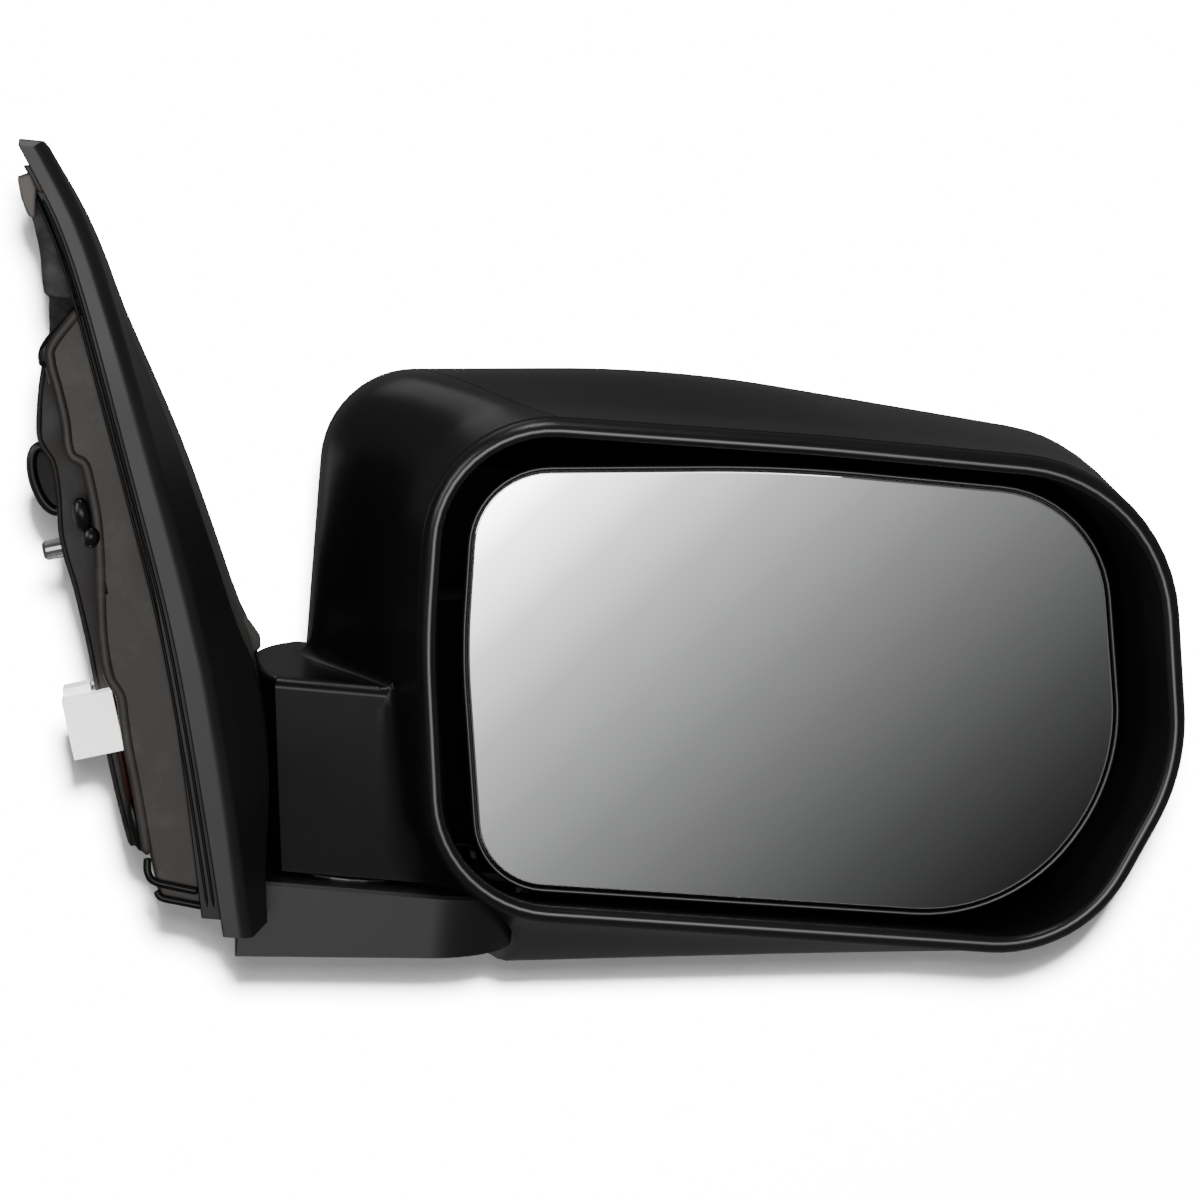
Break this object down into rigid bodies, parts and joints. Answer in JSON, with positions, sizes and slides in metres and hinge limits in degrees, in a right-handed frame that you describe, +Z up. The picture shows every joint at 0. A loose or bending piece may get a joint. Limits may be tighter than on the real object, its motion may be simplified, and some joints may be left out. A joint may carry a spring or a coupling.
{
  "type": "car door mirror",
  "caption": "Car door mirror: sail-shaped door base, folding head shell and a powered tilting glass, with wiring plug and fold detent.",
  "frame": {"origin": "centre of the flat round pad of the base frame that rests on the door", "axes": "+X points outboard along the head, +Y points to the front of the car (the glass faces -Y), +Z is up and parallel to the fold axis"},
  "size_m": [0.3743, 0.1539, 0.2525],
  "materials": {
    "satin_black": "satin",
    "base_black": "satin",
    "gloss_black": "gloss",
    "tray_grey": "matt",
    "black_rubber": "matt",
    "foam": "open-cell foam",
    "white_nylon": "moulded",
    "grey_nylon": "moulded",
    "natural_nylon": "moulded",
    "zinc_steel": "zinc plated",
    "spring_steel": "oiled",
    "diecast": "as cast",
    "brass": "plain",
    "mirror": "polished",
    "loom": "braided sleeve"
  },
  "bodies": {
    "base": {"sail_shell": "base_black", "base_frame": "tray_grey", "sail_gasket": "black_rubber", "upper_seal_pad": "foam", "mount_stud_1": "zinc_steel", "mount_stud_2": "zinc_steel", "mount_stud_3": "zinc_steel", "stud_collar_1": "gloss_black", "stud_collar_2": "gloss_black", "stud_collar_3": "gloss_black", "door_locating_clip": "gloss_black", "connector_housing": "white_nylon", "connector_terminals": "brass", "harness_grommet": "black_rubber", "base_harness": "loom", "foot_cover": "base_black", "foot_cover_screw_1": "zinc_steel", "foot_cover_screw_2": "zinc_steel", "sail_screw_1": "zinc_steel", "sail_screw_2": "zinc_steel", "sail_screw_3": "zinc_steel", "pivot_tube": "zinc_steel", "detent_plate_lower": "spring_steel", "thrust_washer": "natural_nylon", "spring_retainer": "zinc_steel", "pivot_spring": "spring_steel"},
    "head": {"cap_shell": "satin_black", "inboard_housing": "satin_black", "bezel_ring": "gloss_black", "head_frame": "diecast", "pivot_bush": "brass", "detent_plate_upper": "spring_steel", "cap_screw_1": "zinc_steel", "cap_screw_2": "zinc_steel", "cap_screw_3": "zinc_steel", "housing_screw_1": "zinc_steel", "housing_screw_2": "zinc_steel", "bezel_screw_1": "zinc_steel", "bezel_screw_2": "zinc_steel", "actuator_screw_1": "zinc_steel", "actuator_screw_2": "zinc_steel", "actuator_screw_3": "zinc_steel", "actuator_plug": "grey_nylon", "head_harness": "loom", "actuator_case_front": "grey_nylon", "actuator_case_rear": "grey_nylon", "plunger_seal_vertical": "black_rubber", "plunger_seal_horizontal": "black_rubber", "tilt_motor_vertical": "zinc_steel", "tilt_motor_horizontal": "zinc_steel"},
    "gimbal": {"gimbal_ring": "natural_nylon"},
    "glass": {"mirror_glass": "mirror", "glass_adhesive_pad": "foam", "glass_holder": "satin_black"},
    "plunger_v": {"plunger_vertical": "natural_nylon"},
    "plunger_h": {"plunger_horizontal": "natural_nylon"},
    "gear_v": {"nut_gear_vertical": "natural_nylon"},
    "gear_h": {"nut_gear_horizontal": "natural_nylon"},
    "worm_v": {"motor_worm_vertical": "natural_nylon"},
    "worm_h": {"motor_worm_horizontal": "natural_nylon"}
  },
  "joints": [
    {"name": "head_fold", "type": "hinge", "parent": "base", "child": "head", "pos_m": [0.084, 0, 0], "axis": [0, 0, 1], "range_deg": [-55, 36]},
    {"name": "glass_tilt", "type": "hinge", "parent": "head", "child": "gimbal", "pos_m": [0.214, -0.017, -0.008], "axis": [1, 0, 0], "range_deg": [-6, 6]},
    {"name": "glass_pan", "type": "hinge", "parent": "gimbal", "child": "glass", "pos_m": [0.214, -0.017, -0.008], "axis": [0, 0, 1], "range_deg": [-6, 6]},
    {"name": "plunger_v_slide", "type": "slide", "parent": "head", "child": "plunger_v", "axis": [0, 1, 0], "range_m": [-0.00346, 0.00346]},
    {"name": "gear_v_turn", "type": "hinge", "parent": "head", "child": "gear_v", "pos_m": [0.214, 0, 0.025], "axis": [0, 1, 0], "range_deg": [-155.6, 155.6]},
    {"name": "worm_v_turn", "type": "hinge", "parent": "head", "child": "worm_v", "pos_m": [0.214, 0.002, 0.0098], "axis": [1, 0, 0], "range_deg": [-622.2, 622.2]},
    {"name": "plunger_h_slide", "type": "slide", "parent": "head", "child": "plunger_h", "axis": [0, 1, 0], "range_m": [-0.00346, 0.00346]},
    {"name": "gear_h_turn", "type": "hinge", "parent": "head", "child": "gear_h", "pos_m": [0.181, 0, -0.008], "axis": [0, 1, 0], "range_deg": [-155.6, 155.6]},
    {"name": "worm_h_turn", "type": "hinge", "parent": "head", "child": "worm_h", "pos_m": [0.1962, 0.002, -0.008], "axis": [0, 0, -1], "range_deg": [-622.2, 622.2]}
  ],
  "couplings": [
    {"joint": "plunger_v_slide", "follows": "glass_tilt", "m_per_rad": -0.033},
    {"joint": "gear_v_turn", "follows": "glass_tilt", "ratio": -25.918},
    {"joint": "worm_v_turn", "follows": "glass_tilt", "ratio": 103.67},
    {"joint": "plunger_h_slide", "follows": "glass_pan", "m_per_rad": -0.033},
    {"joint": "gear_h_turn", "follows": "glass_pan", "ratio": -25.918},
    {"joint": "worm_h_turn", "follows": "glass_pan", "ratio": 103.67}
  ]
}
